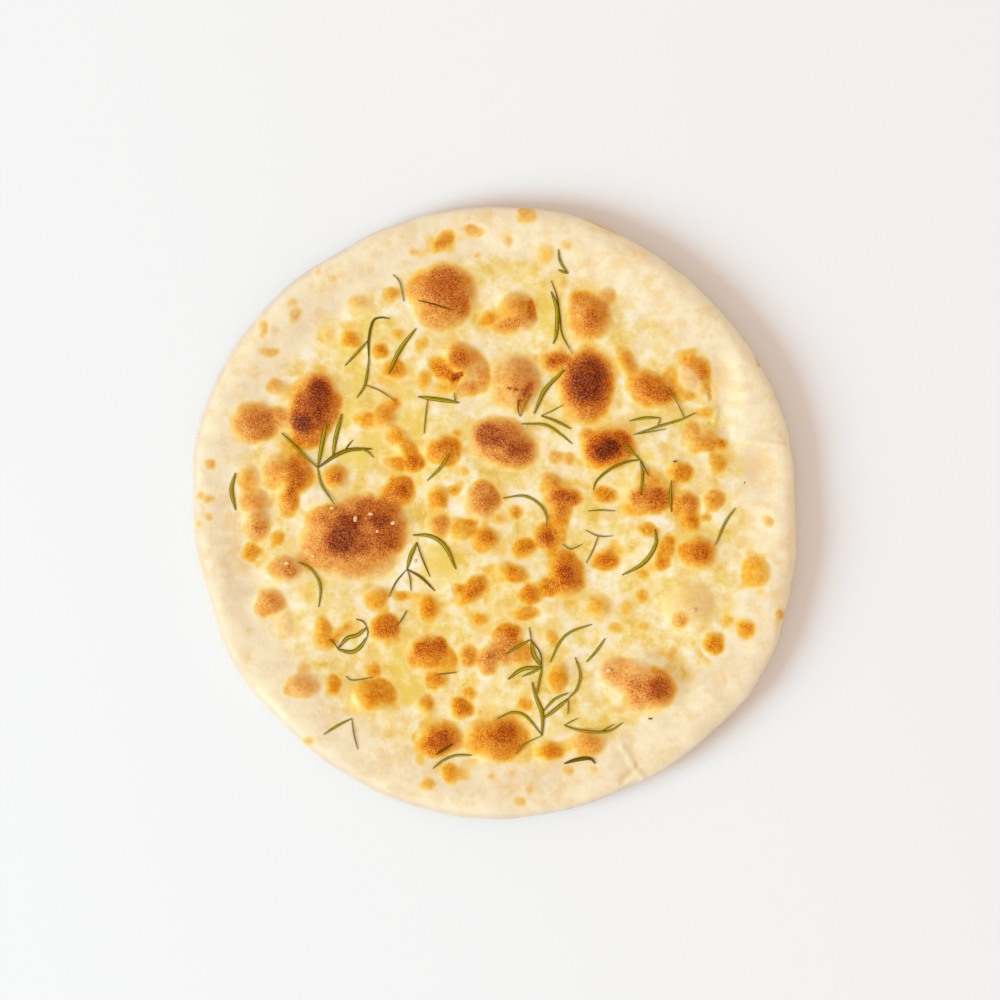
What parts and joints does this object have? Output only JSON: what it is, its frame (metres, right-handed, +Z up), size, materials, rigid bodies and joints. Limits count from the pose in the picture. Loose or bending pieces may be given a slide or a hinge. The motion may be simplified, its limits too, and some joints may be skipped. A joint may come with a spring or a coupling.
{
  "type": "focaccia",
  "caption": "Flat round focaccia with a puffed pale rim, browned blisters over the top and rosemary needles lying on it.",
  "frame": {"origin": "middle of the loaf's box on the plane of its flat base", "axes": "+Z up out of the blistered top, +Y away from the viewer towards the top of the picture, +X to the right"},
  "size_m": [0.3019, 0.306, 0.0159],
  "materials": {
    "crust": "matte",
    "rosemary": "satin"
  },
  "bodies": {
    "root": {"loaf": "crust", "rosemary_01": "rosemary", "rosemary_02": "rosemary", "rosemary_03": "rosemary", "rosemary_04": "rosemary", "rosemary_05": "rosemary", "rosemary_06": "rosemary", "rosemary_07": "rosemary", "rosemary_08": "rosemary", "rosemary_09": "rosemary", "rosemary_10": "rosemary", "rosemary_11": "rosemary", "rosemary_12": "rosemary", "rosemary_13": "rosemary", "rosemary_14": "rosemary", "rosemary_15": "rosemary", "rosemary_16": "rosemary", "rosemary_17": "rosemary", "rosemary_18": "rosemary", "rosemary_19": "rosemary", "rosemary_20": "rosemary", "rosemary_21": "rosemary", "rosemary_22": "rosemary", "rosemary_23": "rosemary", "rosemary_24": "rosemary", "rosemary_25": "rosemary", "rosemary_26": "rosemary", "rosemary_27": "rosemary", "rosemary_28": "rosemary", "rosemary_29": "rosemary", "rosemary_30": "rosemary", "rosemary_31": "rosemary", "rosemary_32": "rosemary", "rosemary_33": "rosemary", "rosemary_34": "rosemary", "rosemary_35": "rosemary", "rosemary_36": "rosemary", "rosemary_37": "rosemary", "rosemary_38": "rosemary"}
  },
  "joints": []
}
